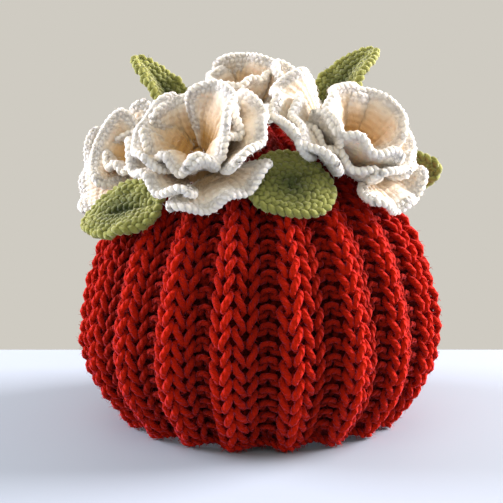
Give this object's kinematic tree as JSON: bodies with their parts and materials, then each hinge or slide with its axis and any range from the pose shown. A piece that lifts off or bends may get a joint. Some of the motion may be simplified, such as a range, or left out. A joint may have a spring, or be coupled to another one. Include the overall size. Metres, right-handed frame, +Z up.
{
  "type": "tea cosy",
  "caption": "Chunky red rib-knit tea cosy for a round teapot, with four cream crochet flowers and five green leaves on top.",
  "frame": {"origin": "on the axis of the cosy, at the level of its hem", "axes": "+Z up from the hem to the flowers, -Y the front, -X the spout side, +X the handle side"},
  "size_m": [0.1787, 0.1779, 0.1819],
  "materials": {
    "red_knit": "chunky wool rib knit, matt",
    "cream_crochet": "crochet yarn, matt",
    "green_crochet": "crochet yarn, matt"
  },
  "bodies": {
    "root": {"panel_front": "red_knit", "panel_back": "red_knit", "flower_front": "cream_crochet", "flower_left": "cream_crochet", "flower_top": "cream_crochet", "flower_right": "cream_crochet", "leaf_front": "green_crochet", "leaf_left": "green_crochet", "leaf_upper_left": "green_crochet", "leaf_upper_right": "green_crochet", "leaf_right": "green_crochet"}
  },
  "joints": []
}
